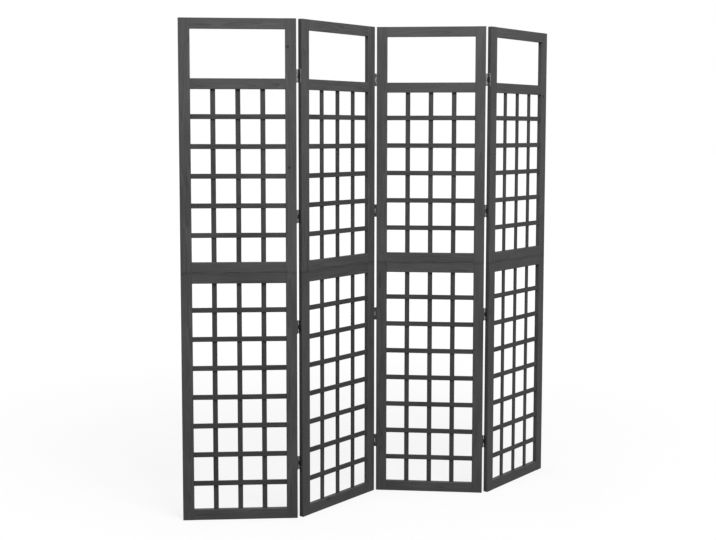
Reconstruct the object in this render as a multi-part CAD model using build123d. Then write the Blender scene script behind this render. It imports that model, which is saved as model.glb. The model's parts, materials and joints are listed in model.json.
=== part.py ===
from build123d import *
import os
from functools import cache
from math import cos, radians, sin

# Four-panel trellis folding screen, in millimetres, standing on z = 0.
# +X runs to the right along the screen, +Y runs away from the side that is looked at.
# A panel is built in its own frame: x across from its left edge, y from its front face to its back.

# Each panel is two frames, one on top of the other
lower_half_height = 900.0
upper_half_height = 900.0
stile_width = 40.0
rail_height = 38.0
frame_thickness = 18.0
edge_easing = 1.0

# The lattice: thin laths crossing in two layers
columns = 4
upper_rows = 6
lower_rows = 8
cell_width = 70.0
lath_width = 18.0
lath_thickness = 5.0

# The joints of the frame, and the housings that take the ends of the laths
tenon_length = 25.0
tenon_thickness = 9.0
tenon_shoulder = 5.0
tenon_clearance = 0.1
housing_depth = 5.0
housing_clearance = 0.1

# Two loose tenons locate the upper frame on the lower one
joining_tenon_width = 50.0
joining_tenon_thickness = 8.0
joining_tenon_length = 36.0
joining_tenon_spacing = 170.0

# Narrow butt hinges, their leaves flat on the edges of the stiles
hinge_height = 48.0
hinge_end_distance = 200.0
leaf_thickness = 1.2
leaf_reach = 17.5
knuckle_radius = 2.6
knuckle_sides = 16
fixed_bore_sides = 8
knuckle_gap = 0.25
pin_radius = 1.3
pin_clearance = 0.05
pin_set_back = 3.5
panel_gap = 4.4
barrel_clearance = 0.5

# Direction of each panel as the screen stands, from +X
panel_angles_deg = (3.9, 50.4, -5.3, 50.8)

# Sizes that follow from those above
overall_height = lower_half_height + upper_half_height
inner_width = columns * cell_width + (columns - 1) * lath_width
panel_width = 2 * stile_width + inner_width
lower_lattice_height = lower_half_height - 2 * rail_height
cell_height = (lower_lattice_height - (lower_rows - 1) * lath_width) / lower_rows
upper_lattice_height = upper_rows * cell_height + (upper_rows - 1) * lath_width
transom_rail_bottom = lower_half_height + rail_height + upper_lattice_height
top_rail_bottom = overall_height - rail_height
lattice_front = frame_thickness / 2 - lath_thickness
lattice_middle = frame_thickness / 2
lath_entry = housing_depth - housing_clearance
hinge_heights = (
    hinge_end_distance,
    lower_half_height - hinge_end_distance,
    lower_half_height + hinge_end_distance,
    overall_height - hinge_end_distance,
)


def block(x0, x1, y0, y1, z0, z1):
    """A plain box between two corners."""
    return Pos((x0 + x1) / 2, (y0 + y1) / 2, (z0 + z1) / 2) * Box(x1 - x0, y1 - y0, z1 - z0)


def eased(solid, axes):
    """The box with its edges along the given axes lightly chamfered."""
    edges = [edge for axis in axes for edge in solid.edges().filter_by(axis)]
    return chamfer(edges, edge_easing)


def rail_levels(half):
    """Bottom of each rail in one half of a panel."""
    if half == "lower":
        return (0.0, lower_half_height - rail_height)
    return (lower_half_height, transom_rail_bottom, top_rail_bottom)


def lattice_span(half):
    """Bottom and top of the opening that the lattice fills in one half."""
    if half == "lower":
        return rail_height, lower_half_height - rail_height
    return lower_half_height + rail_height, transom_rail_bottom


def lath_levels(half):
    """Bottom of each cross lath in one half, counted up from the lattice's bottom."""
    bottom = lattice_span(half)[0]
    rows = lower_rows if half == "lower" else upper_rows
    return [bottom + row * cell_height + (row - 1) * lath_width for row in range(1, rows)]


def column_starts():
    """Left side of each upright lath."""
    pitch = cell_width + lath_width
    return [stile_width + column * pitch - lath_width for column in range(1, columns)]


def joining_tenon_centres():
    """Middle of each loose tenon, across the panel."""
    return (
        (panel_width - joining_tenon_spacing) / 2,
        (panel_width + joining_tenon_spacing) / 2,
    )


@cache
def stile(half, side):
    """An upright of one half frame, mortised for its rails and housed for the cross laths."""
    bottom = 0.0 if half == "lower" else lower_half_height
    top = lower_half_height if half == "lower" else overall_height
    body = eased(
        block(0, stile_width, 0, frame_thickness, bottom, top), (Axis.X, Axis.Y, Axis.Z)
    )
    middle = frame_thickness / 2
    depth = tenon_length + tenon_clearance
    half_thickness = tenon_thickness / 2 + tenon_clearance
    for level in rail_levels(half):
        low = level + tenon_shoulder - tenon_clearance
        high = level + rail_height - tenon_shoulder + tenon_clearance
        body -= block(
            stile_width - depth, stile_width, middle - half_thickness, middle + half_thickness, low, high
        )
    for level in lath_levels(half):
        body -= block(
            stile_width - housing_depth,
            stile_width,
            lattice_front - housing_clearance,
            lattice_middle + housing_clearance,
            level - housing_clearance,
            level + lath_width + housing_clearance,
        )
    if side == "right":
        body = Pos(panel_width, 0, 0) * mirror(body, about=Plane.YZ)
    return body


@cache
def rail(level, laths_above, laths_below, tenon_holes):
    """A cross piece with a stub tenon at each end, housed where upright laths enter it."""
    left = stile_width
    right = panel_width - stile_width
    middle = frame_thickness / 2
    body = eased(block(left, right, 0, frame_thickness, level, level + rail_height), (Axis.X,))
    body += block(
        left - tenon_length,
        right + tenon_length,
        middle - tenon_thickness / 2,
        middle + tenon_thickness / 2,
        level + tenon_shoulder,
        level + rail_height - tenon_shoulder,
    )
    mouths = []
    if laths_above:
        mouths.append((level + rail_height - housing_depth, level + rail_height))
    if laths_below:
        mouths.append((level, level + housing_depth))
    for low, high in mouths:
        for start in column_starts():
            body -= block(
                start - housing_clearance,
                start + lath_width + housing_clearance,
                lattice_middle - housing_clearance,
                lattice_middle + lath_thickness + housing_clearance,
                low,
                high,
            )
    for centre in joining_tenon_centres() if tenon_holes else ():
        reach = joining_tenon_length / 2 + tenon_clearance
        seam = lower_half_height
        body -= block(
            centre - joining_tenon_width / 2 - tenon_clearance,
            centre + joining_tenon_width / 2 + tenon_clearance,
            middle - joining_tenon_thickness / 2 - tenon_clearance,
            middle + joining_tenon_thickness / 2 + tenon_clearance,
            seam - reach,
            seam + reach,
        )
    return body


def cross_laths():
    """The laths that run across, in the front layer of the lattice."""
    left = stile_width - lath_entry
    right = panel_width - stile_width + lath_entry
    levels = lath_levels("lower") + lath_levels("upper")
    return [
        block(left, right, lattice_front, lattice_middle, z, z + lath_width) for z in levels
    ]


def upright_laths():
    """The laths that run up, in the back layer of the lattice."""
    back = lattice_middle + lath_thickness
    laths = []
    for half in ("lower", "upper"):
        low, high = lattice_span(half)
        low, high = low - lath_entry, high + lath_entry
        for start in column_starts():
            laths.append(block(start, start + lath_width, lattice_middle, back, low, high))
    return laths


def joining_tenons():
    """The loose tenons across the seam between the lower and the upper frame."""
    middle = frame_thickness / 2
    reach = joining_tenon_length / 2
    return [
        block(
            centre - joining_tenon_width / 2,
            centre + joining_tenon_width / 2,
            middle - joining_tenon_thickness / 2,
            middle + joining_tenon_thickness / 2,
            lower_half_height - reach,
            lower_half_height + reach,
        )
        for centre in joining_tenon_centres()
    ]


def pin_depth(pin_side):
    """Distance of a hinge's axis behind the front face of the panels that it joins."""
    return frame_thickness + pin_set_back if pin_side == "back" else -pin_set_back


def knuckle_spans():
    """Bottom and top of the three knuckles of a hinge, from its bottom end."""
    length = (hinge_height - 2 * knuckle_gap) / 3
    step = length + knuckle_gap
    return [(index * step, index * step + length) for index in range(3)]


@cache
def leaf(pin_side, knuckles, turning):
    """A hinge leaf on the right edge of a panel, its bottom at z = 0, with the knuckles given by number.

    A leaf that turns has round bores. In the other the pin is held fast, in holes with a few flat sides.
    """
    depth = pin_depth(pin_side)
    inward = -1 if pin_side == "back" else 1
    axis_x = panel_width + panel_gap / 2
    outer = depth + inward * leaf_reach
    shoulder = depth + inward * (knuckle_radius + barrel_clearance)
    face = panel_width + leaf_thickness
    body = block(panel_width, face, min(outer, shoulder), max(outer, shoulder), 0, hinge_height)
    for index in knuckles:
        low, high = knuckle_spans()[index]
        tongue = block(
            panel_width, face, min(shoulder, depth), max(shoulder, depth), low, high
        )
        ring = Pos(axis_x, depth, low) * RegularPolygon(knuckle_radius, knuckle_sides)
        body += tongue + extrude(ring, amount=high - low)
    bore_radius = pin_radius + pin_clearance
    if turning:
        bore = Cylinder(bore_radius, 2 * hinge_height)
    else:
        bore = extrude(
            RegularPolygon(bore_radius, fixed_bore_sides, major_radius=False),
            amount=hinge_height,
            both=True,
        )
    return body - Pos(axis_x, depth, hinge_height / 2) * bore


def leaves(pin_side, edge):
    """Every leaf on one edge of a panel: outer knuckles on its right edge, the middle one on its left."""
    if edge == "right":
        one = leaf(pin_side, (0, 2), False)
    else:
        one = Pos(panel_width, 0, 0) * mirror(leaf(pin_side, (1,), True), about=Plane.YZ)
    return [Pos(0, 0, centre - hinge_height / 2) * one for centre in hinge_heights]


def pins(pin_side):
    """The pins of one seam, in the frame of the panel on its left."""
    one = Cylinder(pin_radius, hinge_height)
    axis_x = panel_width + panel_gap / 2
    return [Pos(axis_x, pin_depth(pin_side), centre) * one for centre in hinge_heights]


def pin_side_at(panel, edge):
    """Side of the screen on which the pins along one edge of a panel lie, or None at a free edge."""
    seam = panel if edge == "right" else panel - 1
    if seam not in range(len(panel_angles_deg) - 1):
        return None
    return "back" if seam % 2 == 0 else "front"


def turned(x, y, direction):
    """A plan point turned about the origin by a direction in degrees."""
    angle = radians(direction)
    return x * cos(angle) - y * sin(angle), x * sin(angle) + y * cos(angle)


def panel_corners():
    """Front left corner of each panel in plan, each panel hung on the pins of the one before it."""
    corner = (0.0, 0.0)
    corners = [corner]
    for panel in range(len(panel_angles_deg) - 1):
        depth = pin_depth(pin_side_at(panel, "right"))
        out = turned(panel_width + panel_gap / 2, depth, panel_angles_deg[panel])
        back = turned(-panel_gap / 2, depth, panel_angles_deg[panel + 1])
        corner = (corner[0] + out[0] - back[0], corner[1] + out[1] - back[1])
        corners.append(corner)
    return corners


def panel_pieces(panel):
    """Every node of one panel, in the panel's own frame."""
    name = f"panel_{panel + 1}"
    nodes = {}
    sides = {side: pin_side_at(panel, side) for side in ("left", "right")}
    for half in ("lower", "upper"):
        for side in sides:
            nodes[f"{name}_{half}_{side}_stile"] = [stile(half, side)]
    meeting_bottom = lower_half_height - rail_height
    nodes[f"{name}_bottom_rail"] = [rail(0.0, True, False, False)]
    nodes[f"{name}_meeting_rails"] = [
        rail(meeting_bottom, False, True, True),
        rail(lower_half_height, True, False, True),
    ]
    nodes[f"{name}_transom_rail"] = [rail(transom_rail_bottom, False, True, False)]
    nodes[f"{name}_top_rail"] = [rail(top_rail_bottom, False, False, False)]
    nodes[f"{name}_cross_laths"] = cross_laths()
    nodes[f"{name}_upright_laths"] = upright_laths()
    nodes[f"{name}_joining_tenons"] = joining_tenons()
    for side, pin_side in sides.items():
        if pin_side:
            nodes[f"{name}_{side}_hinge_leaves"] = leaves(pin_side, side)
    if sides["right"]:
        nodes[f"{name}_hinge_pins"] = pins(sides["right"])
    return nodes


def placed_nodes():
    """Every node where it stands, with the middle of the screen's footprint at the origin."""
    nodes = {}
    for panel, corner in enumerate(panel_corners()):
        place = Location((corner[0], corner[1], 0), (0, 0, panel_angles_deg[panel]))
        for name, solids in panel_pieces(panel).items():
            nodes[name] = [place * solid for solid in solids]
    middle = Compound([solid for solids in nodes.values() for solid in solids]).bounding_box().center()
    shift = Pos(-middle.X, -middle.Y, 0)
    return {name: [shift * solid for solid in solids] for name, solids in nodes.items()}


def main():
    os.makedirs("parts", exist_ok=True)
    for name, solids in placed_nodes().items():
        shape = solids[0] if len(solids) == 1 else Compound(solids)
        export_step(shape, f"parts/{name}.step")


main()
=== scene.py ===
import json
import logging
from dataclasses import dataclass
from enum import Enum
from typing import Any, Iterable, Optional, Sequence

import bpy
import numpy as np
from mathutils import Matrix


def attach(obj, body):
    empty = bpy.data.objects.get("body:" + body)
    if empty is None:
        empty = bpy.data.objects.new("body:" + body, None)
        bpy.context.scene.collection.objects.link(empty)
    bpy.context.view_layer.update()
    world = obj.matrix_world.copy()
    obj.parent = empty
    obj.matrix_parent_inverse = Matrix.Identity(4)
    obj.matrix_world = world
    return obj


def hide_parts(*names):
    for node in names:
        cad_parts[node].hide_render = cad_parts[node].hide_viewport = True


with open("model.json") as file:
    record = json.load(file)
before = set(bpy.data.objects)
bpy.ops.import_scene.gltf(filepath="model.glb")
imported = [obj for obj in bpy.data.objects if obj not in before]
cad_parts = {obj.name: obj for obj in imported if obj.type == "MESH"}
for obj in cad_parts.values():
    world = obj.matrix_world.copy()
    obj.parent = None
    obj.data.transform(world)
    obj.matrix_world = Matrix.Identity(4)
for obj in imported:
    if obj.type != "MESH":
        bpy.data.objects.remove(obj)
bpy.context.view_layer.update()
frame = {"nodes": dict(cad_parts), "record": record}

LOG = logging.getLogger("folding_screen")

MM = 0.001

# Height of each of the two frames that make a panel, in metres
FRAME_HEIGHT = 0.9

# Rotations that lay a piece made along z: left standing, laid across, or set on a face of the panel
STANDING = np.eye(3)
LAID_ACROSS = np.array([[0.0, 0.0, 1.0], [0.0, 1.0, 0.0], [-1.0, 0.0, 0.0]])
FACING_BACK = np.array([[1.0, 0.0, 0.0], [0.0, 0.0, 1.0], [0.0, -1.0, 0.0]])
FACING_ACROSS = np.array([[0.0, 0.0, 1.0], [1.0, 0.0, 0.0], [0.0, 1.0, 0.0]])


class Half(Enum):
    """The two frames that are stacked to make one panel."""

    LOWER = "lower"
    UPPER = "upper"


class Side(Enum):
    """The left or the right edge of a panel, seen from the front."""

    LEFT = "left"
    RIGHT = "right"


class Run(Enum):
    """The direction in which the length of a board runs, in its panel's own frame."""

    ACROSS = "across"
    UP = "up"


# Surfaces

# Degrees of turn between faces past which an edge stays sharp
SHARP_ANGLE = 50.0
# Where a flat has points: this many easings from its corners, and at these shares of its length
NEAR_CORNER = 1.6
FLAT_STOPS = (0.36, 0.64)
# Wear at the points near a corner
FLAT_WEAR = 0.08
# Metres between the rings of points along a board
RING_STEP = 0.05
# The slow waves of a planed face: their lengths in metres and their slant in radians per metre
WAVE_PERIODS = (0.9, 0.37, 0.16)
WAVE_SLANT = 40.0
# Metres from a board's middle to the pith, and from the start of its plank to the board
PITH_DEPTH = (0.012, 0.055)
PLANK_START = (3.0, 60.0)


@dataclass
class Surface:
    """A mesh as whole arrays: points, quads, capping polygons and values at the points."""

    points: np.ndarray
    faces: list[list[int]]
    grain: np.ndarray
    wear: np.ndarray

    def moved(self, rotation: np.ndarray, offset: np.ndarray) -> "Surface":
        """The surface turned by a 3 by 3 matrix and then shifted; the grain stays with the board.

        Args:
            rotation: the 3 by 3 matrix.
            offset: the shift in metres.

        Returns:
            The moved surface.
        """
        return Surface(self.points @ rotation.T + offset, self.faces, self.grain, self.wear)


def merged(surfaces: Sequence[Surface]) -> Surface:
    """Several surfaces as one, their face numbers shifted past each other's points.

    Args:
        surfaces: what is joined.

    Returns:
        One surface.
    """
    faces: list[list[int]] = []
    count = 0
    for surface in surfaces:
        faces.extend([[corner + count for corner in face] for face in surface.faces])
        count += len(surface.points)
    return Surface(
        np.concatenate([s.points for s in surfaces]),
        faces,
        np.concatenate([s.grain for s in surfaces]),
        np.concatenate([s.wear for s in surfaces]),
    )


def grid_faces(rings: int, around: int) -> list[list[int]]:
    """Quads between closed rings of points that lie one after another.

    Args:
        rings: number of rings.
        around: points in each ring.

    Returns:
        Lists of four point numbers, facing outwards where the rings turn left about the path.
    """
    ring = np.arange(rings - 1)[:, None] * around
    step = np.arange(around)[None, :]
    after = (step + 1) % around
    quads = np.stack(
        [ring + step, ring + after, ring + around + after, ring + around + step], axis=-1
    )
    return quads.reshape(-1, 4).tolist()


def closed_faces(rings: int, around: int) -> list[list[int]]:
    """The quads of a tube with one face over each open end, so that it holds a volume.

    Args:
        rings: number of rings.
        around: points in each ring.

    Returns:
        The quads, then the foot and the head.
    """
    count = rings * around
    foot = list(range(around))[::-1]
    head = list(range(count - around, count))
    return [*grid_faces(rings, around), foot, head]


def eased_profile(
    width: float, depth: float, ease: float, fine: int = 4
) -> tuple[np.ndarray, np.ndarray, np.ndarray]:
    """A rectangle with rounded corners, as points, outward directions and nearness to an edge.

    Each corner is a quarter circle of the easing's radius. On every flat there are points close to
    the corners, so that wear dies away there, and a few between, so that the flat can be uneven.

    Args:
        width: size along the first axis.
        depth: size along the second axis.
        ease: radius of the corners.
        fine: points on each quarter circle.

    Returns:
        Points about the middle, unit directions outwards, and 1 on the corners falling to 0.
    """
    half = np.array([width / 2, depth / 2])
    along_flat = np.array([[-1.0, 0.0], [0.0, -1.0], [1.0, 0.0], [0.0, 1.0]])
    corner_wear = np.sin(np.linspace(0.15, 0.85, fine) * np.pi)
    points: list[np.ndarray] = []
    normals: list[np.ndarray] = []
    worn: list[np.ndarray] = []
    for quarter, (sx, sy) in enumerate(((1, 1), (-1, 1), (-1, -1), (1, -1))):
        angle = np.pi / 2 * (quarter + np.linspace(0.0, 1.0, fine))
        out = np.stack([np.cos(angle), np.sin(angle)], axis=-1)
        centre = np.array([sx, sy]) * (half - ease)
        points.append(centre + ease * out)
        normals.append(out)
        worn.append(corner_wear)
        length = (width if quarter % 2 == 0 else depth) - 2 * ease
        near = min(NEAR_CORNER * ease, 0.3 * length)
        steps = np.array([near, *(stop * length for stop in FLAT_STOPS), length - near])
        points.append(points[-1][-1] + steps[:, None] * along_flat[quarter])
        normals.append(np.repeat(out[-1:], len(steps), axis=0))
        worn.append(np.array([FLAT_WEAR, 0.0, 0.0, FLAT_WEAR]))
    return np.concatenate(points), np.concatenate(normals), np.concatenate(worn)


def slow_waves(heights: np.ndarray, profile: np.ndarray, rng: np.random.Generator) -> np.ndarray:
    """A sum of sine waves along a board, each with its own period, phase and slant across the board.

    Args:
        heights: place of each ring along the board.
        profile: points round the board.
        rng: source of the phases and slants.

    Returns:
        The sum at every ring and point, within plus or minus the number of waves.
    """
    waves = np.zeros((len(heights), len(profile)))
    for period in WAVE_PERIODS:
        phase = rng.uniform(0, 2 * np.pi)
        slant = rng.uniform(-WAVE_SLANT, WAVE_SLANT)
        turn = 2 * np.pi * heights[:, None] / period
        waves += np.sin(turn + phase + slant * profile.sum(1)[None, :])
    return waves


def eased_board(
    width: float,
    depth: float,
    length: float,
    ease: float,
    rng: np.random.Generator,
    end_ease: float = 0.5 * MM,
    unevenness: float = 0.1 * MM,
    bow: float = 0.0,
) -> Surface:
    """A planed board: the eased profile carried along z, drawn in over a quarter circle at each end.

    The planed faces dip inwards by a sum of three slow sine waves along the board, never outwards,
    and the whole board may bow sideways as half a sine wave. Grain is the place in the uncut plank.

    Args:
        width: size across, along x.
        depth: thickness, along y.
        length: size along z.
        ease: radius of the long edges.
        rng: source of this board's own irregularities.
        end_ease: radius of the edges of both ends.
        unevenness: depth of the deepest dip.
        bow: sideways bow at mid length.

    Returns:
        The board, centred in x and y, with its foot at z = 0.
    """
    profile, outward, near_edge = eased_profile(width, depth, ease)
    turn = np.linspace(0.0, np.pi / 2, 4)
    foot = end_ease * (1 - np.cos(turn))
    drawn_in = end_ease * (1 - np.sin(turn))
    rings = max(4, int(length / RING_STEP))
    middle = np.linspace(4 * end_ease, length - 4 * end_ease, rings)
    heights = np.concatenate([foot, middle, length - foot[::-1]])
    inset = np.concatenate([drawn_in, np.zeros(rings), drawn_in[::-1]])
    worn_foot = np.array([0.4, 0.4, 0.4, 0.1])
    end_wear = np.concatenate([worn_foot, np.zeros(rings), worn_foot[::-1]])
    dip = 0.5 + slow_waves(heights, profile, rng) / (2 * len(WAVE_PERIODS))
    push = -unevenness * dip - inset[:, None]
    cross = profile[None, :, :] + push[:, :, None] * outward[None, :, :]
    sideways = bow * np.sin(np.pi * heights / length)
    points = np.empty((len(heights), len(profile), 3))
    points[:, :, 0] = cross[:, :, 0] + sideways[:, None]
    points[:, :, 1] = cross[:, :, 1]
    points[:, :, 2] = heights[:, None]
    points = points.reshape(-1, 3)
    wear = np.maximum(near_edge[None, :], end_wear[:, None]).reshape(-1)
    pith_across = rng.uniform(-0.5, 0.5) * width
    pith_depth = rng.uniform(*PITH_DEPTH) * rng.choice([-1, 1])
    grain = points + np.array([pith_across, pith_depth, 0.0])
    grain[:, 2] += rng.uniform(*PLANK_START)
    return Surface(points, closed_faces(len(heights), len(profile)), grain, wear)


def turned_piece(radii: np.ndarray, heights: np.ndarray, around: int, wear: np.ndarray) -> Surface:
    """A solid of revolution about z: the radius at each height, carried round in equal steps.

    Args:
        radii: radius of each ring, over zero.
        heights: height of each ring, rising.
        around: points in each ring.
        wear: nearness to an edge at each ring.

    Returns:
        The closed surface.
    """
    angle = np.linspace(0, 2 * np.pi, around, endpoint=False)
    circle = np.stack([np.cos(angle), np.sin(angle)], axis=-1)
    points = np.empty((len(radii), around, 3))
    points[:, :, :2] = radii[:, None, None] * circle[None]
    points[:, :, 2] = heights[:, None]
    points = points.reshape(-1, 3)
    return Surface(points, closed_faces(len(radii), around), points.copy(), np.repeat(wear, around))


def unit_rows(vectors: np.ndarray) -> np.ndarray:
    """Vectors divided by their own lengths."""
    return vectors / np.linalg.norm(vectors, axis=1)[:, None]


def carried_section(
    section: np.ndarray, heights: np.ndarray, shrink: np.ndarray, wear: np.ndarray
) -> Surface:
    """A closed outline in the xy plane carried up z, drawn in towards its own middle line at the ends.

    Args:
        section: points of the outline, turning left.
        heights: height of each copy.
        shrink: how far each copy is drawn in along the outline's normals.
        wear: nearness to an edge at each height.

    Returns:
        The closed surface.
    """
    ahead = np.roll(section, -1, axis=0) - section
    behind = section - np.roll(section, 1, axis=0)
    tangent = unit_rows(ahead) + unit_rows(behind)
    tangent = unit_rows(tangent)
    normal = np.stack([tangent[:, 1], -tangent[:, 0]], axis=-1)
    points = np.empty((len(heights), len(section), 3))
    points[:, :, :2] = section[None] - shrink[:, None, None] * normal[None]
    points[:, :, 2] = heights[:, None]
    points = points.reshape(-1, 3)
    faces = closed_faces(len(heights), len(section))
    return Surface(points, faces, points.copy(), np.repeat(wear, len(section)))


def make_object(name: str, surface: Surface) -> bpy.types.Object:
    """Puts a surface into a mesh object at the origin, with its grain and wear as attributes.

    Faces are shaded smooth, and turns sharper than SHARP_ANGLE degrees stay sharp.

    Args:
        name: the object's name.
        surface: the arrays.

    Returns:
        The linked object.
    """
    mesh = bpy.data.meshes.new(name)
    mesh.from_pydata(surface.points.tolist(), [], surface.faces)
    mesh.update()
    grain = mesh.attributes.new("grain", "FLOAT_VECTOR", "POINT")
    grain.data.foreach_set("vector", surface.grain.astype(np.float32).ravel())
    wear = mesh.attributes.new("wear", "FLOAT", "POINT")
    wear.data.foreach_set("value", surface.wear.astype(np.float32))
    mesh.polygons.foreach_set("use_smooth", np.full(len(mesh.polygons), True))
    mesh.set_sharp_from_angle(angle=np.radians(SHARP_ANGLE))
    made = bpy.data.objects.new(name, mesh)
    bpy.context.scene.collection.objects.link(made)
    return made


# Finishes

# The range that most values of a noise node lie in
NOISE_RANGE = (0.3, 0.7)
# Socket numbers of a mix node that mixes colours: its colours come after its numbers and vectors
MIX_FACTOR = 0
MIX_FIRST = 6
MIX_SECOND = 7
MIX_RESULT = 2


@dataclass(frozen=True)
class Streaks:
    """A noise pattern drawn out along a board.

    The scale is in cells per metre across the board, and the share is what is left of it along it.
    """

    scale: float
    share: float
    detail: float
    roughness: float = 0.5


class NodeBench:
    """Adds and joins the shader nodes of one material or of the world."""

    def __init__(self, owner: bpy.types.ID) -> None:
        """Clears the nodes of a new material or world."""
        owner.use_nodes = True
        self.tree = owner.node_tree
        self.tree.nodes.clear()

    def add(self, kind: str, inputs: Optional[dict[Any, Any]] = None, **settings: Any) -> bpy.types.Node:
        """A node with its settings and inputs; an input that is a socket is linked.

        Args:
            kind: the node's type name.
            inputs: values or sockets by input name or number.
            settings: properties of the node.

        Returns:
            The node.
        """
        node = self.tree.nodes.new(kind)
        for key, value in settings.items():
            setattr(node, key, value)
        for key, value in (inputs or {}).items():
            socket = node.inputs[key]
            if isinstance(value, bpy.types.NodeSocket):
                self.tree.links.new(value, socket)
            else:
                socket.default_value = value
        return node

    def maths(self, operation: str, *values: Any, clamp: bool = False) -> bpy.types.NodeSocket:
        """The result of one arithmetic node on numbers or sockets."""
        node = self.add("ShaderNodeMath", dict(enumerate(values)), operation=operation, use_clamp=clamp)
        return node.outputs[0]

    def vector(self, operation: str, *values: Any, output: str = "Vector") -> bpy.types.NodeSocket:
        """The result of one arithmetic node on vectors or sockets."""
        node = self.add("ShaderNodeVectorMath", dict(enumerate(values)), operation=operation)
        return node.outputs[output]

    def scaled(
        self, place: bpy.types.NodeSocket, scale: tuple[float, float, float]
    ) -> bpy.types.NodeSocket:
        """A vector multiplied along each axis."""
        return self.vector("MULTIPLY", place, scale)

    def spread(
        self, value: Any, low: float, high: float, to_low: float, to_high: float
    ) -> bpy.types.NodeSocket:
        """A value's range stretched to another, held within it."""
        inputs = {"Value": value, "From Min": low, "From Max": high, "To Min": to_low, "To Max": to_high}
        return self.add("ShaderNodeMapRange", inputs, clamp=True).outputs["Result"]

    def swing(self, noise: bpy.types.NodeSocket, below: float, above: float) -> bpy.types.NodeSocket:
        """A noise's usual range, NOISE_RANGE, stretched to reach from one value to another."""
        return self.spread(noise, *NOISE_RANGE, below, above)

    def noise(
        self,
        place: bpy.types.NodeSocket,
        scale: float,
        detail: float = 2.0,
        roughness: float = 0.5,
        output: str = "Fac",
    ) -> bpy.types.NodeSocket:
        """Soft noise, from 0 to 1, at a place; its output is one number or a colour."""
        inputs = {"Vector": place, "Scale": scale, "Detail": detail, "Roughness": roughness}
        return self.add("ShaderNodeTexNoise", inputs).outputs[output]

    def streaks(
        self, place: bpy.types.NodeSocket, pattern: Streaks, output: str = "Fac"
    ) -> bpy.types.NodeSocket:
        """Noise that is drawn out along the third axis of a place."""
        drawn_out = self.scaled(place, (1.0, 1.0, pattern.share))
        return self.noise(drawn_out, pattern.scale, pattern.detail, pattern.roughness, output)

    def in_view(self) -> bpy.types.NodeSocket:
        """One on a ray from the camera, or from a gloss or a glass that shows what it meets."""
        path = self.add("ShaderNodeLightPath")
        seen = path.outputs["Is Camera Ray"]
        for kind in ("Glossy", "Transmission"):
            seen = self.maths("MAXIMUM", seen, path.outputs[f"Is {kind} Ray"])
        return seen


@dataclass(frozen=True)
class Knot:
    """A dark knot that shows on the front of a board."""

    panel: int
    across: float
    height: float
    radius: float = 9 * MM


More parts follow.
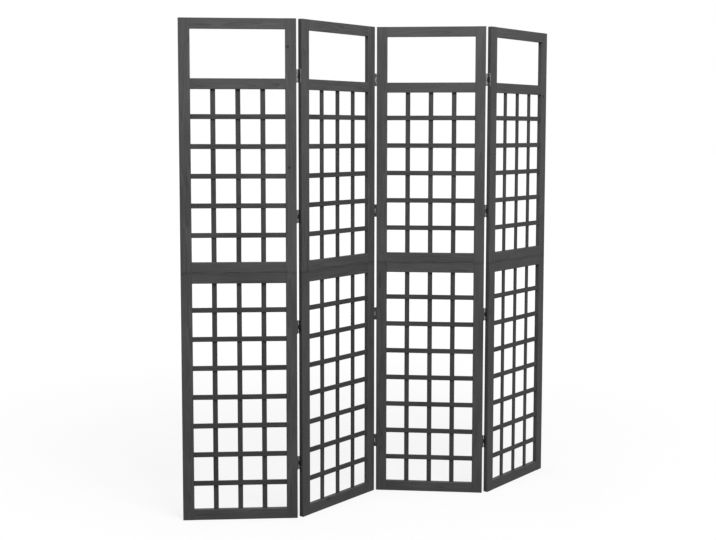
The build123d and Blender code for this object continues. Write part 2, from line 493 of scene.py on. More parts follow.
@dataclass(frozen=True)
class BlackStainedPine:
    """Softwood under a black stain: the growth rings and fibres show faintly, edges rub paler.

    Contrasts and darknesses are shares of the stain's own brightness.
    """

    name: str = "black_stained_pine"
    stain: tuple[float, float, float] = (0.052, 0.052, 0.052)
    ring_spacing: float = 3.4 * MM
    ring_sharpness: float = 3.0
    ring_contrast: float = 0.36
    drift: Streaks = Streaks(22.0, 0.11, 1.5)
    drift_size: float = 30 * MM
    fine_fibres: Streaks = Streaks(1100.0, 0.018, 3.0, 0.6)
    coarse_fibres: Streaks = Streaks(240.0, 0.03, 3.0, 0.6)
    fibre_contrast: float = 0.44
    clouds: Streaks = Streaks(16.0, 0.3, 2.0)
    cloud_contrast: float = 0.3
    stray_knot_cells: float = 9.0
    stray_knot_share: float = 0.42
    stray_knot_edge: tuple[float, float] = (0.035, 0.075)
    knot_darkness: float = 0.6
    knot_core: float = 0.4
    ragged_scale: float = 160.0
    ragged_size: float = 6 * MM
    joint_height: float = FRAME_HEIGHT
    joint_band: tuple[float, float] = (2 * MM, 10 * MM)
    joint_darkness: float = 0.18
    rub_patches: tuple[float, float] = (0.42, 0.62)
    rub_contrast: float = 0.28
    roughness: float = 0.56
    roughness_below: float = 0.07
    roughness_above: float = 0.09
    ring_gloss: float = 0.06
    ring_relief: float = 0.4
    fibre_relief: float = 0.6
    knot_relief: float = 0.5
    relief_height: float = 0.22 * MM
    relief_strength: float = 0.5
    refraction: float = 1.46
    specular: float = 0.16

    def knots(
        self, bench: NodeBench, grain: bpy.types.NodeSocket, spots: Sequence[tuple[np.ndarray, float]]
    ) -> bpy.types.NodeSocket:
        """Knots: a few anywhere, where stretched cells come close to their centres, and the given ones.

        Args:
            bench: the material's nodes.
            grain: the place in the uncut plank.
            spots: middle and radius of each given knot.

        Returns:
            One inside a knot, falling to zero around it.
        """
        cells = {
            "Vector": bench.scaled(grain, (1.0, 1.0, self.stray_knot_share)),
            "Scale": self.stray_knot_cells,
            "Randomness": 1.0,
        }
        away = bench.add("ShaderNodeTexVoronoi", cells).outputs["Distance"]
        knot = bench.spread(away, *self.stray_knot_edge, 1.0, 0.0)
        # Noise moves every place by up to the ragged size, by half of it on average
        place = bench.add("ShaderNodeTexCoord").outputs["Object"]
        stray = bench.noise(place, self.ragged_scale, output="Color")
        ragged = bench.vector("ADD", bench.scaled(stray, (self.ragged_size,) * 3), place)
        for middle, radius in spots:
            centre = tuple((middle + self.ragged_size / 2).tolist())
            away = bench.vector("DISTANCE", ragged, centre, output="Value")
            placed = bench.spread(away, self.knot_core * radius, radius, 1.0, 0.0)
            knot = bench.maths("MAXIMUM", knot, placed)
        return knot

    def late_wood(self, bench: NodeBench, grain: bpy.types.NodeSocket) -> bpy.types.NodeSocket:
        """Growth rings: the distance from the pith, as a share of a ring, raised to a power.

        Slow noise that is drawn out along the board pushes the rings about.

        Args:
            bench: the material's nodes.
            grain: the place in the uncut plank.

        Returns:
            Zero in the early wood, rising to one at the end of each ring.
        """
        centred = bench.vector("SUBTRACT", bench.streaks(grain, self.drift, "Color"), (0.5, 0.5, 0.5))
        push = bench.scaled(centred, (self.drift_size, self.drift_size, 0.0))
        across = bench.scaled(bench.vector("ADD", push, grain), (1.0, 1.0, 0.0))
        radius = bench.vector("LENGTH", across, output="Value")
        phase = bench.maths("FRACT", bench.maths("DIVIDE", radius, self.ring_spacing))
        return bench.maths("POWER", phase, self.ring_sharpness)

    def seam(self, bench: NodeBench) -> bpy.types.NodeSocket:
        """How much darker the wood is in a band along the seam between a panel's two frames."""
        place = bench.add("ShaderNodeTexCoord").outputs["Object"]
        height = bench.add("ShaderNodeSeparateXYZ", {0: place}).outputs["Z"]
        away = bench.maths("ABSOLUTE", bench.maths("SUBTRACT", height, self.joint_height))
        return bench.spread(away, *self.joint_band, self.joint_darkness, 0.0)

    def rubbed(self, bench: NodeBench, fibres: bpy.types.NodeSocket) -> bpy.types.NodeSocket:
        """How much paler the edges are, where the fibres let the stain be rubbed away."""
        wear = bench.add("ShaderNodeAttribute", attribute_name="wear").outputs["Fac"]
        patches = bench.spread(fibres, *self.rub_patches, 0.0, self.rub_contrast)
        return bench.maths("MULTIPLY", wear, patches)

    def build(self, spots: Sequence[tuple[np.ndarray, float]]) -> bpy.types.Material:
        """Makes the material; its pattern follows each board's own grain attribute.

        Args:
            spots: middle and radius of each knot that has a place of its own.

        Returns:
            The material.
        """
        material = bpy.data.materials.new(self.name)
        bench = NodeBench(material)
        grain = bench.add("ShaderNodeAttribute", attribute_name="grain").outputs["Vector"]
        late = self.late_wood(bench, grain)
        knot = self.knots(bench, grain, spots)
        clouds = bench.streaks(grain, self.clouds)
        coarse = bench.streaks(grain, self.coarse_fibres)
        fine_half = bench.maths("MULTIPLY", bench.streaks(grain, self.fine_fibres), 0.5)
        fibres = bench.maths("ADD", fine_half, bench.maths("MULTIPLY", coarse, 0.5))

        # Brightness as a share of the stain's own; a third of the rings' contrast is given back
        rings = bench.maths("MULTIPLY", late, self.ring_contrast)
        tone = bench.maths("SUBTRACT", 1.0 + self.ring_contrast / 3, rings)
        half_fibre = self.fibre_contrast / 2
        tone = bench.maths("ADD", tone, bench.swing(fibres, -half_fibre, half_fibre))
        half_cloud = self.cloud_contrast / 2
        tone = bench.maths("ADD", tone, bench.swing(clouds, -half_cloud, half_cloud))
        tone = bench.maths("SUBTRACT", tone, bench.maths("MULTIPLY", knot, self.knot_darkness))
        tone = bench.maths("SUBTRACT", tone, self.seam(bench))
        tone = bench.maths("ADD", tone, self.rubbed(bench, coarse))
        stained = {0: self.stain, "Scale": tone}
        colour = bench.add("ShaderNodeVectorMath", stained, operation="SCALE").outputs[0]

        # Late wood is a little glossier and stands higher, and knots lie lower
        low, high = self.roughness - self.roughness_below, self.roughness + self.roughness_above
        gloss = bench.maths("MULTIPLY", late, -self.ring_gloss)
        rough = bench.maths("ADD", bench.swing(fibres, low, high), gloss)
        ridges = bench.maths("MULTIPLY", late, self.ring_relief)
        relief = bench.maths("ADD", bench.maths("MULTIPLY", fibres, self.fibre_relief), ridges)
        relief = bench.maths("SUBTRACT", relief, bench.maths("MULTIPLY", knot, self.knot_relief))
        bumps = {"Height": relief, "Strength": self.relief_strength, "Distance": self.relief_height}
        surface = {
            "Base Color": colour,
            "Roughness": rough,
            "Normal": bench.add("ShaderNodeBump", bumps).outputs["Normal"],
            "IOR": self.refraction,
            "Specular IOR Level": self.specular,
        }
        shader = bench.add("ShaderNodeBsdfPrincipled", surface)
        bench.add("ShaderNodeOutputMaterial", {"Surface": shader.outputs[0]})
        return material


@dataclass(frozen=True)
class BlackenedSteel:
    """Dark hinge steel, oily smooth, bright where edges rub and where a glint is painted in on the top
    hinges.
    """

    name: str
    dark: tuple[float, float, float] = (0.05, 0.05, 0.049)
    bright: tuple[float, float, float] = (0.75, 0.75, 0.74)
    metallic: float = 0.7
    roughness: float = 0.42
    roughness_below: float = 0.08
    roughness_above: float = 0.1
    marks: Streaks = Streaks(2600.0, 0.06, 3.0, 0.6)
    mark_height: float = 0.04 * MM
    mark_strength: float = 0.3
    rub_scale: float = 900.0
    rub_patches: tuple[float, float] = (0.36, 0.6)
    least_rub: float = 0.25

    def build(self) -> bpy.types.Material:
        """Makes the material: dark steel mixed towards bright by wear, with faint rolling marks. On the
        hinges the wear also carries a painted glint.

        Returns:
            The material.
        """
        material = bpy.data.materials.new(self.name)
        bench = NodeBench(material)
        place = bench.add("ShaderNodeTexCoord").outputs["Object"]
        wear = bench.add("ShaderNodeAttribute", attribute_name="wear").outputs["Fac"]
        marks = bench.streaks(place, self.marks)
        spots = bench.noise(place, self.rub_scale, detail=3.0, roughness=0.55)
        patches = bench.spread(spots, *self.rub_patches, self.least_rub, 1.0)
        # How far the steel turns bright: rubbed edges, and on the top hinges a painted glint carried by
        # the wear
        rubbed = bench.maths("MULTIPLY", wear, patches, clamp=True)
        mixed = {MIX_FACTOR: rubbed, MIX_FIRST: (*self.dark, 1.0), MIX_SECOND: (*self.bright, 1.0)}
        colour = bench.add("ShaderNodeMix", mixed, data_type="RGBA").outputs[MIX_RESULT]
        low, high = self.roughness - self.roughness_below, self.roughness + self.roughness_above
        bumps = {"Height": marks, "Strength": self.mark_strength, "Distance": self.mark_height}
        surface = {
            "Base Color": colour,
            "Metallic": self.metallic,
            "Roughness": bench.swing(marks, low, high),
            "Normal": bench.add("ShaderNodeBump", bumps).outputs["Normal"],
        }
        shader = bench.add("ShaderNodeBsdfPrincipled", surface)
        bench.add("ShaderNodeOutputMaterial", {"Surface": shader.outputs[0]})
        return material


class Finishes:
    """The materials of the screen, each made once."""

    def __init__(self, spots: Sequence[tuple[np.ndarray, float]]) -> None:
        """Makes the stained wood, with its knots, the darker laths, and the steel of hinges and screws.

        Args:
            spots: middle and radius of each knot that has a place of its own.
        """
        self.wood = BlackStainedPine().build(spots)
        self.lath = BlackStainedPine("black_stained_lath", stain=(0.039, 0.039, 0.039)).build([])
        self.hinge = BlackenedSteel("blackened_hinge_steel").build()
        screw = BlackenedSteel("screw_steel", dark=(0.11, 0.11, 0.108), roughness=0.3, metallic=0.8)
        self.screw = screw.build()


def dress(
    made: bpy.types.Object,
    material: bpy.types.Material,
    body: str,
    replaced: Iterable[str] = (),
) -> None:
    """Gives a piece its material, its body and the nodes that it stands for.

    Args:
        made: the piece.
        material: its finish.
        body: the CAD body that it rides on.
        replaced: CAD nodes that it stands for.
    """
    made.data.materials.clear()
    made.data.materials.append(material)
    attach(made, body)
    nodes = list(replaced)
    if nodes:
        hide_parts(*nodes)
    LOG.info("%s rides on %s, %d faces", made.name, body, len(made.data.polygons))


# The screen's sizes and places


@dataclass(frozen=True)
class ScreenPlan:
    """Sizes that every panel shares, in metres, and the direction of each panel, in degrees."""

    half_height: float = FRAME_HEIGHT
    stile_width: float = 0.04
    rail_height: float = 0.038
    thickness: float = 0.018
    columns: int = 4
    upper_rows: int = 6
    lower_rows: int = 8
    cell_width: float = 0.07
    lath_width: float = 0.018
    lath_thickness: float = 0.005
    panel_gap: float = 0.0044
    pin_set_back: float = 0.0035
    hinge_inset: float = 0.2
    lath_entry: float = 0.0045
    angles: tuple[float, ...] = (3.9, 50.4, -5.3, 50.8)

    @property
    def width(self) -> float:
        """Width of one panel."""
        lattice = self.columns * self.cell_width + (self.columns - 1) * self.lath_width
        return 2 * self.stile_width + lattice

    @property
    def cell_height(self) -> float:
        """Height of one opening of the lattice."""
        clear = self.half_height - 2 * self.rail_height - (self.lower_rows - 1) * self.lath_width
        return clear / self.lower_rows

    @property
    def transom(self) -> float:
        """Bottom of the rail between the lattice and the open window."""
        rows = self.upper_rows * self.cell_height + (self.upper_rows - 1) * self.lath_width
        return self.half_height + self.rail_height + rows

    @property
    def hinge_heights(self) -> tuple[float, ...]:
        """Middle of each hinge: one near each end of each half."""
        half, inset = self.half_height, self.hinge_inset
        return (inset, half - inset, half + inset, 2 * half - inset)

    def span(self, half: Half) -> tuple[float, float]:
        """Bottom and top of the lattice's opening in one half."""
        if half is Half.LOWER:
            return self.rail_height, self.half_height - self.rail_height
        return self.half_height + self.rail_height, self.transom

    def lath_levels(self, half: Half) -> list[float]:
        """Bottom of each cross lath in one half."""
        rows = self.lower_rows if half is Half.LOWER else self.upper_rows
        first = self.span(half)[0] + self.cell_height
        return [first + row * (self.cell_height + self.lath_width) for row in range(rows - 1)]

    def columns_left(self) -> list[float]:
        """Left side of each upright lath."""
        first = self.stile_width + self.cell_width
        return [first + column * (self.cell_width + self.lath_width) for column in range(self.columns - 1)]

    def pin_depth(self, seam: int) -> float:
        """Distance of a seam's pins behind the front faces; the seams go back, front, back."""
        return self.thickness + self.pin_set_back if seam % 2 == 0 else -self.pin_set_back


@dataclass(frozen=True)
class Place:
    """Where a panel stands: its front left corner and its direction."""

    corner: tuple[float, float]
    angle: float

    @property
    def rotation(self) -> np.ndarray:
        """The 3 by 3 matrix from the panel's frame to the row's."""
        across, back = np.cos(np.radians(self.angle)), np.sin(np.radians(self.angle))
        return np.array([[across, -back, 0.0], [back, across, 0.0], [0.0, 0.0, 1.0]])

    def put(self, surface: Surface) -> Surface:
        """A surface in the panel's frame, moved to where the panel stands."""
        return surface.moved(self.rotation, np.array([*self.corner, 0.0]))


def places(plan: ScreenPlan, joints: Sequence[dict[str, Any]]) -> list[Place]:
    """Each panel's place, read back from the pins that join it to its neighbour.

    Args:
        plan: the shared sizes.
        joints: the record's joints, in order along the screen.

    Returns:
        One place for each panel.
    """
    found: list[Place] = []
    for panel, angle in enumerate(plan.angles):
        seam = min(panel, len(joints) - 1)
        pin = np.array(joints[seam]["pos_m"][:2])
        across = plan.width + plan.panel_gap / 2 if panel == seam else -plan.panel_gap / 2
        turned = Place((0.0, 0.0), angle).rotation[:2, :2]
        corner = pin - turned @ np.array([across, plan.pin_depth(seam)])
        found.append(Place((float(corner[0]), float(corner[1])), angle))
    return found


def laid(board: Surface, run: Run, x: float, y: float, z: float) -> Surface:
    """A board moved from its own frame into the panel's, its foot or left end at the given place.

    Args:
        board: the board, standing along z and centred.
        run: whether its length goes up or across.
        x: the middle of its width, or its left end if it runs across.
        y: the middle of its thickness.
        z: its foot, or the middle of its width if it runs across.

    Returns:
        The board in the panel's frame.
    """
    return board.moved(STANDING if run is Run.UP else LAID_ACROSS, np.array([x, y, z]))


# Sub-assemblies


@dataclass
class PanelFrame:
    """The stiles and rails of one panel's two frames."""

    number: int
    plan: ScreenPlan
    place: Place
    rng: np.random.Generator
    stile_ease: float = 1.6 * MM
    rail_ease: float = 1.2 * MM
    rail_entry: float = 0.2 * MM
    rail_thinner: float = 0.1 * MM

    @property
    def body(self) -> str:
        """The CAD body of this panel."""
        return f"panel_{self.number}"

    def stile(self, half: Half, side: Side) -> Surface:
        """One upright of one frame."""
        p = self.plan
        board = eased_board(p.stile_width, p.thickness, p.half_height, self.stile_ease, self.rng)
        middle = p.stile_width / 2 if side is Side.LEFT else p.width - p.stile_width / 2
        foot = 0.0 if half is Half.LOWER else p.half_height
        return laid(board, Run.UP, middle, p.thickness / 2, foot)

    def rail(self, bottom: float) -> Surface:
        """One cross piece between the stiles, its ends let a hair into them."""
        p = self.plan
        start = p.stile_width - self.rail_entry
        depth = p.thickness - self.rail_thinner
        board = eased_board(p.rail_height, depth, p.width - 2 * start, self.rail_ease, self.rng)
        return laid(board, Run.ACROSS, start, p.thickness / 2, bottom + p.rail_height / 2)

    def build(self, finishes: Finishes) -> None:
        """Makes the four stiles and five rails and dresses them.

        Args:
            finishes: the screen's materials.
        """
        p = self.plan
        pieces: dict[str, list[Surface]] = {}
        for half in Half:
            for side in Side:
                pieces[f"{half.value}_{side.value}_stile"] = [self.stile(half, side)]
        pieces["bottom_rail"] = [self.rail(0.0)]
        pieces["meeting_rails"] = [self.rail(p.half_height - p.rail_height), self.rail(p.half_height)]
        pieces["transom_rail"] = [self.rail(p.transom)]
        pieces["top_rail"] = [self.rail(2 * p.half_height - p.rail_height)]
        for name, boards in pieces.items():
            node = f"{self.body}_{name}"
            made = make_object(f"{node}_board", self.place.put(merged(boards)))
            dress(made, finishes.wood, self.body, [node])


@dataclass
class Lattice:
    """The crossing laths of one panel and the brads that pin them together from the back."""

    number: int
    plan: ScreenPlan
    place: Place
    rng: np.random.Generator
    ease: float = 0.6 * MM
    cross_bow: float = 0.25 * MM
    upright_bow: float = 0.4 * MM
    brad_stray: float = 1.2 * MM
    brad_sides: int = 8
    brad_rise: tuple[float, ...] = (-0.6 * MM, 0.05 * MM, 0.14 * MM, 0.2 * MM)
    brad_radii: tuple[float, ...] = (0.7 * MM, 0.9 * MM, 0.6 * MM, 0.15 * MM)
    brad_wear: tuple[float, ...] = (0.0, 1.0, 0.6, 0.2)

    @property
    def body(self) -> str:
        """The CAD body of this panel."""
        return f"panel_{self.number}"

    def lath(self, length: float, usual_bow: float) -> Surface:
        """One lath, standing, with a bow of its own."""
        p = self.plan
        bow = self.rng.normal(0, usual_bow)
        return eased_board(p.lath_width, p.lath_thickness, length, self.ease, self.rng, bow=bow)

    def cross_laths(self) -> Surface:
        """The front layer, running across."""
        p = self.plan
        start = p.stile_width - p.lath_entry
        middle = p.thickness / 2 - p.lath_thickness / 2
        laths = []
        for half in Half:
            for level in p.lath_levels(half):
                board = self.lath(p.width - 2 * start, self.cross_bow)
                laths.append(laid(board, Run.ACROSS, start, middle, level + p.lath_width / 2))
        return merged(laths)

    def upright_laths(self) -> Surface:
        """The back layer, running up."""
        p = self.plan
        middle = p.thickness / 2 + p.lath_thickness / 2
        laths = []
        for half in Half:
            low, high = p.span(half)
            for left in p.columns_left():
                board = self.lath(high - low + 2 * p.lath_entry, self.upright_bow)
                laths.append(laid(board, Run.UP, left + p.lath_width / 2, middle, low - p.lath_entry))
        return merged(laths)

    def brads(self) -> Surface:
        """A small domed brad head on the back of every crossing."""
        p = self.plan
        radii, rise, wear = np.array(self.brad_radii), np.array(self.brad_rise), np.array(self.brad_wear)
        head = turned_piece(radii, rise, self.brad_sides, wear)
        back = p.thickness / 2 + p.lath_thickness
        heads = []
        for half in Half:
            for level in p.lath_levels(half):
                for left in p.columns_left():
                    across, up = self.rng.normal(0, self.brad_stray, 2) + p.lath_width / 2
                    heads.append(head.moved(FACING_BACK, np.array([left + across, back, level + up])))
        return merged(heads)

    def build(self, finishes: Finishes) -> None:
        """Makes the laths and the brads and dresses them.

        Args:
            finishes: the screen's materials.
        """
        layers = {"cross_laths": self.cross_laths(), "upright_laths": self.upright_laths()}
        for name, surface in layers.items():
            node = f"{self.body}_{name}"
            made = make_object(f"{node}_boards", self.place.put(surface))
            dress(made, finishes.lath, self.body, [node])
        brads = make_object(f"{self.body}_lath_brads", self.place.put(self.brads()))
        dress(brads, finishes.hinge, self.body)


@dataclass
class HingeSet:
    """The leaves, pins and screws on one edge of one panel.

    A knuckle's roll starts and ends that many radians short of a half turn. Each hinge's wear is
    scaled from the lowest hinge up: rubbing on the lower ones, and a painted glint on the top one.
    """

    number: int
    side: Side
    seam: int
    plan: ScreenPlan
    place: Place
    rng: np.random.Generator
    height: float = 48 * MM
    leaf: float = 1.2 * MM
    leaf_ease: float = 0.18 * MM
    leaf_corner: float = 2.5 * MM
    reach: float = 17.5 * MM
    shoulder: float = 3.1 * MM
    barrel: float = 2.6 * MM
    barrel_ease: float = 0.22 * MM
    roll_start: float = 0.5
    roll_end: float = 1.05
    knuckles: int = 3
    slack: float = 0.25 * MM
    pin: float = 1.3 * MM
    dome_rise: tuple[float, ...] = (0.0, 0.12 * MM, 0.3 * MM, 0.6 * MM)
    dome_drawn_in: tuple[float, ...] = (0.8 * MM, 0.35 * MM, 0.1 * MM, 0.0)
    dome_wear: tuple[float, ...] = (1.0, 1.0, 0.6, 0.0)
    screw_ends: float = 9 * MM
    screw_offset: float = 0.4 * MM
    recess_depth: float = 0.9 * MM
    recess_sharpness: int = 8
    # Wear scale of each hinge from the lowest up: small values are rubbing, the top hinge's high value is
    # a painted glint
    wear_and_glint: tuple[float, ...] = (0.12, 0.15, 0.2, 0.9)

    @property
    def body(self) -> str:
        """The CAD body of this panel."""
        return f"panel_{self.number}"

    def at_each_hinge(self, made: Sequence[Surface]) -> Surface:
        """Parts made with the hinge's foot at zero, put at the four hinges, each with its wear scaled:
        rubbing, and on the top hinge a painted glint.

        Args:
            made: one surface for each hinge, from the lowest up.

        Returns:
            The parts on this edge, in the panel's frame.
        """
        stood = []
        for one, centre, wear_and_glint in zip(made, self.plan.hinge_heights, self.wear_and_glint):
            lifted = one.moved(STANDING, np.array([0.0, 0.0, centre - self.height / 2]))
            stood.append(Surface(lifted.points, lifted.faces, lifted.grain, lifted.wear * wear_and_glint))
        return self.to_edge(merged(stood))

    def to_edge(self, surface: Surface) -> Surface:
        """Moves hinge parts to this edge of the panel.

        They are made with the pin on the z axis, the leaf along +y and the stile's edge face at
        x = minus half the gap. A back pin turns them about z; the left edge mirrors them.

        Args:
            surface: the parts as made.

        Returns:
            The parts in the panel's frame.
        """
        p = self.plan
        points = surface.points.copy()
        flips = 0
        if self.seam % 2 == 0:
            points[:, 1] *= -1
            flips += 1
        if self.side is Side.LEFT:
            points[:, 0] *= -1
            flips += 1
        x = p.width + p.panel_gap / 2 if self.side is Side.RIGHT else -p.panel_gap / 2
        points += np.array([x, p.pin_depth(self.seam), 0.0])
        faces = surface.faces if flips % 2 == 0 else [face[::-1] for face in surface.faces]
        return Surface(points, faces, surface.grain, surface.wear)

    def knuckle_spans(self) -> list[tuple[float, float]]:
        """Bottom and top of each knuckle, with a little slack between them."""
        length = (self.height - (self.knuckles - 1) * self.slack) / self.knuckles
        feet = [index * (length + self.slack) for index in range(self.knuckles)]
        return [(foot, foot + length) for foot in feet]

    def leaf_plate(self) -> Surface:
        """The flat of the leaf: a rectangle with rounded outer corners, its edges eased.

        The outline lies in the plane of the leaf and is carried through its thickness. More copies
        of it lie within the outer face, so that the bright rim of wear, and on the top hinges of painted
        glint, dies away from the border.
        """
        low, high, radius = self.shoulder, self.reach, self.leaf_corner
        angle = np.linspace(0, np.pi / 2, 6)
        sine, cosine = radius * np.sin(angle), radius * np.cos(angle)
        lower = np.stack([high - radius + sine, radius - cosine], axis=-1)
        upper = np.stack([high - radius + cosine, self.height - radius + sine], axis=-1)
        outline = np.concatenate([[[low, 0.0]], lower, upper, [[low, self.height]]])
        ease, top = self.leaf_ease, self.leaf
        heights = np.array([0.0, 0.4 * ease, ease, top - ease, top - 0.4 * ease, top, top, top, top])
        border = np.array([0.9, 1.6, 2.3]) * MM
        shrink = np.array([ease, 0.4 * ease, 0.0, 0.0, 0.4 * ease, ease, *border])
        # Bright rim at the border: rubbed edges, and on the top hinges a painted glint
        wear = np.array([0.6, 1.0, 0.4, 0.4, 1.0, 1.0, 0.55, 0.15, 0.0])
        plate = carried_section(outline, heights, shrink, wear)
        return plate.moved(FACING_ACROSS, np.array([-self.plan.panel_gap / 2, 0.0, 0.0]))

    def knuckle(self, low: float, high: float) -> Surface:
        """One rolled knuckle: a circle that runs out into the leaf, carried up with eased ends."""
        wall = -self.plan.panel_gap / 2
        angle = np.linspace(self.roll_start - np.pi, np.pi - self.roll_end, 30)
        circle = self.barrel * np.stack([np.cos(angle), np.sin(angle)], axis=-1)
        neck = np.array([
            [wall + self.leaf, circle[-1, 1] + 0.25 * MM],
            [wall + self.leaf, self.shoulder + 0.05 * MM],
            [wall, self.shoulder + 0.05 * MM],
            [wall, circle[0, 1] + 0.9 * MM],
        ])
        outline = np.concatenate([circle[circle[:, 0] > wall - 0.35 * MM], neck])
        ease = self.barrel_ease
        heights = np.array([low, low + 0.3 * ease, low + ease, high - ease, high - 0.3 * ease, high])
        shrink = np.array([ease, 0.3 * ease, 0.0, 0.0, 0.3 * ease, ease])
        return carried_section(outline, heights, shrink, np.array([0.5, 1.0, 0.25, 0.25, 1.0, 0.5]))

    def pin_piece(self) -> Surface:
        """The pin with a low domed head at each end."""
        rise, wear = np.array(self.dome_rise), np.array(self.dome_wear)
        radii = self.pin - np.array(self.dome_drawn_in)
        heights = np.concatenate([rise, self.height - rise[::-1]])
        both_ends = np.concatenate([radii, radii[::-1]])
        return turned_piece(both_ends, heights, 24, np.concatenate([wear, wear[::-1]]))

    def screw_head(self) -> Surface:
        """A countersunk head with a cross recess, its top just proud of the leaf.

        Height is a function of ring and angle: inside the recess it falls where the angle is near
        one of four arms, as the cosine of twice the angle to a high even power. The first ring is
        the foot, and the last is the floor of the recess.
        """
        radii = np.array([1.6, 3.0, 2.9, 2.2, 1.7, 1.1, 0.6, 0.2]) * MM
        rise = np.array([-1.2, -0.1, 0.05, 0.1, 0.12, 0.13, 0.13, 0.13]) * MM
        cut = np.array([0.0, 0.0, 0.0, 0.0, 0.9, 1.0, 1.0, 1.0])
        wear = np.array([0.0, 0.7, 1.0, 0.4, 0.6, 0.1, 0.1, 0.1])
        angle = np.linspace(0, 2 * np.pi, 32, endpoint=False) + self.rng.uniform(0, np.pi)
        arms = np.cos(2 * (angle - angle[0])) ** self.recess_sharpness
        points = np.empty((len(radii), len(angle), 3))
        points[:, :, 0] = radii[:, None] * np.cos(angle)
        points[:, :, 1] = radii[:, None] * np.sin(angle)
        points[:, :, 2] = rise[:, None] - self.recess_depth * cut[:, None] * arms[None, :]
        points[-1, :, 2] = rise[-1] - self.recess_depth
        points = points.reshape(-1, 3)
        faces = closed_faces(len(radii), len(angle))
        return Surface(points, faces, points.copy(), np.repeat(wear, len(angle)))

    def screws(self) -> Surface:
        """The two screws of every leaf on this edge."""
        face = self.leaf - self.plan.panel_gap / 2
        across = (self.shoulder + self.reach) / 2 + self.screw_offset
        levels = (self.screw_ends, self.height - self.screw_ends)
        spots = [np.array([face, across, level]) for level in levels]
        pairs = []
        for _ in self.plan.hinge_heights:
            heads = [self.screw_head().moved(FACING_ACROSS, spot) for spot in spots]
            pairs.append(merged(heads))
        return self.at_each_hinge(pairs)

    def leaves(self) -> Surface:
        """Every leaf on this edge with its knuckles: a right edge has the outer ones."""
        spans = self.knuckle_spans()
        kept = spans[0::2] if self.side is Side.RIGHT else spans[1::2]
        one = merged([self.leaf_plate(), *[self.knuckle(low, high) for low, high in kept]])
        return self.at_each_hinge([one] * len(self.plan.hinge_heights))

    def pins(self) -> Surface:
        """Every pin of this seam."""
        return self.at_each_hinge([self.pin_piece()] * len(self.plan.hinge_heights))

    def build(self, finishes: Finishes) -> None:
        """Makes the leaves, the screws and, on a right edge, the pins, and dresses them.

        Args:
            finishes: the screen's materials.
        """
        edge = f"{self.body}_{self.side.value}"
        leaves = make_object(f"{edge}_hinge_leaves_rolled", self.place.put(self.leaves()))
        dress(leaves, finishes.hinge, self.body, [f"{edge}_hinge_leaves"])
        screws = make_object(f"{edge}_hinge_screws", self.place.put(self.screws()))
        dress(screws, finishes.screw, self.body)
        if self.side is Side.RIGHT:
            pins = make_object(f"{self.body}_hinge_pins_domed", self.place.put(self.pins()))
            dress(pins, finishes.hinge, self.body, [f"{self.body}_hinge_pins"])


# The studio


@dataclass(frozen=True)
class SoftLamp:
    """A square area lamp: where it hangs, the point that it faces, its side and its power."""

    name: str
    place: tuple[float, float, float]
    aim: tuple[float, float, float]
    side: float
    watts: float


def set_up(axes: Sequence[np.ndarray], place: Sequence[float]) -> Matrix:
    """The matrix that turns x, y and z to three directions and then moves to a place.

    Args:
        axes: the directions of x, y and z.
        place: where the origin goes.

    Returns:
        The 4 by 4 matrix.
    """
    matrix = np.eye(4)
    matrix[:3, :3] = np.stack(axes, axis=1)
    matrix[:3, 3] = place
    return Matrix(matrix.tolist())


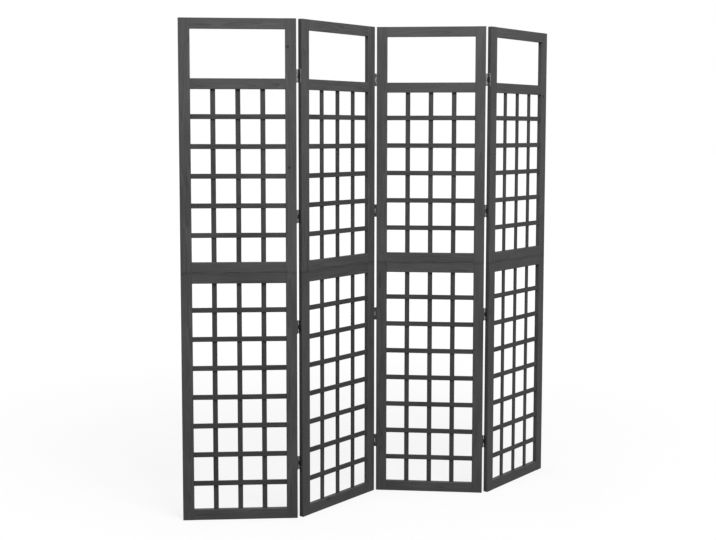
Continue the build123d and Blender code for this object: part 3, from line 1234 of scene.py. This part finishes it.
@dataclass(frozen=True)
class Studio:
    """The pale floor, the soft lamps and the camera.

    Angles are in degrees, and the lens and the sensor are in millimetres.
    """

    eye: tuple[float, float, float] = (-0.06719, -4.37298, 1.40200)
    pitch: float = 4.6498
    roll: float = 0.058
    lens: float = 57.5653
    shift: float = -0.06285
    sensor_width: float = 36.0
    sight: float = 200.0
    ambient: float = 0.61
    key: SoftLamp = SoftLamp("key", (1.1, -2.6, 3.7), (0.1, 0.0, 1.6), 2.0, 160.0)
    fill: SoftLamp = SoftLamp("fill", (-1.9, -2.4, 3.4), (-0.2, 0.0, 1.5), 1.6, 24.0)
    floor_reach: float = 60.0
    floor_cloud_scale: float = 3.0
    floor_grey: tuple[float, float] = (0.15, 0.16)
    glow_distance: tuple[float, float] = (0.8, 4.5)
    glow: tuple[float, float] = (0.8, 0.94)

    def floor(self) -> None:
        """A wide pale floor that keeps the screen's shadow."""
        material = bpy.data.materials.new("pale_floor")
        bench = NodeBench(material)
        place = bench.add("ShaderNodeTexCoord").outputs["Object"]
        faint = bench.spread(bench.noise(place, self.floor_cloud_scale), 0.0, 1.0, *self.floor_grey)
        grey = bench.add("ShaderNodeCombineColor", {"Red": faint, "Green": faint, "Blue": faint})
        plain = bench.add("ShaderNodeBsdfDiffuse", {"Color": grey.outputs[0]}).outputs[0]
        # Far from the lamps the floor glows more by itself, so that it stays white up to the horizon
        away = bench.vector("LENGTH", place, output="Value")
        strength = bench.spread(away, *self.glow_distance, *self.glow)
        glow = bench.add("ShaderNodeEmission", {"Strength": strength}).outputs[0]
        both = bench.add("ShaderNodeAddShader", {0: plain, 1: glow}).outputs[0]
        mixed = bench.add("ShaderNodeMixShader", {0: bench.in_view(), 1: plain, 2: both}).outputs[0]
        bench.add("ShaderNodeOutputMaterial", {"Surface": mixed})
        reach = self.floor_reach
        corners = [(-reach, -reach, 0.0), (reach, -reach, 0.0), (reach, reach, 0.0), (-reach, reach, 0.0)]
        mesh = bpy.data.meshes.new("pale_floor")
        mesh.from_pydata(corners, [], [[0, 1, 2, 3]])
        mesh.materials.append(material)
        floor = bpy.data.objects.new("pale_floor", mesh)
        bpy.context.scene.collection.objects.link(floor)

    def sky(self) -> None:
        """Even light all round, white where the camera or a gloss sees it."""
        world = bpy.data.worlds.new("studio")
        bpy.context.scene.world = world
        bench = NodeBench(world)
        white = (1.0, 1.0, 1.0, 1.0)
        dim = bench.add("ShaderNodeBackground", {"Color": white, "Strength": self.ambient}).outputs[0]
        bare = bench.add("ShaderNodeBackground", {"Color": white, "Strength": 1.0}).outputs[0]
        mixed = bench.add("ShaderNodeMixShader", {0: bench.in_view(), 1: dim, 2: bare}).outputs[0]
        bench.add("ShaderNodeOutputWorld", {"Surface": mixed})

    def hang(self, lamp: SoftLamp) -> None:
        """Hangs a lamp, its back along the line from its aim and its top edge as high as it goes.

        Args:
            lamp: the lamp.
        """
        data = bpy.data.lights.new(lamp.name, "AREA")
        data.shape = "SQUARE"
        data.size = lamp.side
        data.energy = lamp.watts
        hung = bpy.data.objects.new(lamp.name, data)
        bpy.context.scene.collection.objects.link(hung)
        back = np.array(lamp.place) - np.array(lamp.aim)
        back /= np.linalg.norm(back)
        side = np.cross([0.0, 0.0, 1.0], back)
        side /= np.linalg.norm(side)
        hung.matrix_world = set_up([side, np.cross(back, side), back], lamp.place)

    def camera(self) -> None:
        """The camera where the photograph was taken: looking along +Y, a little down, hardly rolled."""
        p, r = np.radians(self.pitch), np.radians(self.roll)
        ahead = np.array([0.0, np.cos(p), -np.sin(p)])
        level = np.array([1.0, 0.0, 0.0])
        over = np.array([0.0, np.sin(p), np.cos(p)])
        right = np.cos(r) * level + np.sin(r) * over
        up = -np.sin(r) * level + np.cos(r) * over
        data = bpy.data.cameras.new("camera")
        data.sensor_fit = "HORIZONTAL"
        data.sensor_width = self.sensor_width
        data.lens = self.lens
        data.shift_y = self.shift
        data.clip_end = self.sight
        camera = bpy.data.objects.new("camera", data)
        bpy.context.scene.collection.objects.link(camera)
        camera.matrix_world = set_up([right, up, -ahead], self.eye)
        bpy.context.scene.camera = camera

    def build(self) -> None:
        """Sets up the floor, the light, the view transform and the camera."""
        self.floor()
        self.sky()
        self.hang(self.key)
        self.hang(self.fill)
        bpy.context.scene.view_settings.view_transform = "Standard"
        self.camera()


# The whole screen


@dataclass
class FoldingScreen:
    """All the panels and hinges of the screen."""

    plan: ScreenPlan
    knots: tuple[Knot, ...] = (
        Knot(1, 0.3825, 1.700),
        Knot(1, 0.3875, 1.276, 7 * MM),
        Knot(4, 0.390, 1.545, 10 * MM),
    )
    seed: int = 1800

    def dress_hidden(self, number: int, finishes: Finishes) -> None:
        """Gives the loose tenons inside the meeting rails the wood's finish.

        Args:
            number: the panel's number.
            finishes: the screen's materials.
        """
        tenons = frame["nodes"][f"panel_{number}_joining_tenons"]
        tenons.data.materials.clear()
        tenons.data.materials.append(finishes.wood)
        LOG.info("%s keeps its CAD shape", tenons.name)

    def build(self, joints: Sequence[dict[str, Any]]) -> None:
        """Builds every panel in order, from left to right.

        Args:
            joints: the record's joints, which give the pins.
        """
        stands = places(self.plan, joints)
        spots = []
        for knot in self.knots:
            stand = stands[knot.panel - 1]
            face = stand.rotation @ np.array([knot.across, 0.0, knot.height])
            spots.append((face + np.array([*stand.corner, 0.0]), knot.radius))
        finishes = Finishes(spots)
        for index, place in enumerate(stands):
            number = index + 1
            rng = np.random.default_rng(self.seed + number)
            PanelFrame(number, self.plan, place, rng).build(finishes)
            Lattice(number, self.plan, place, rng).build(finishes)
            if index > 0:
                HingeSet(number, Side.LEFT, index - 1, self.plan, place, rng).build(finishes)
            if index < len(stands) - 1:
                HingeSet(number, Side.RIGHT, index, self.plan, place, rng).build(finishes)
            self.dress_hidden(number, finishes)


def main() -> None:
    """Builds the screen and the studio."""
    logging.basicConfig(level=logging.INFO, format="%(message)s")
    FoldingScreen(ScreenPlan()).build(frame["record"]["behaviour"]["joints"])
    Studio().build()
    bpy.context.view_layer.update()


if __name__ == "__main__":
    main()
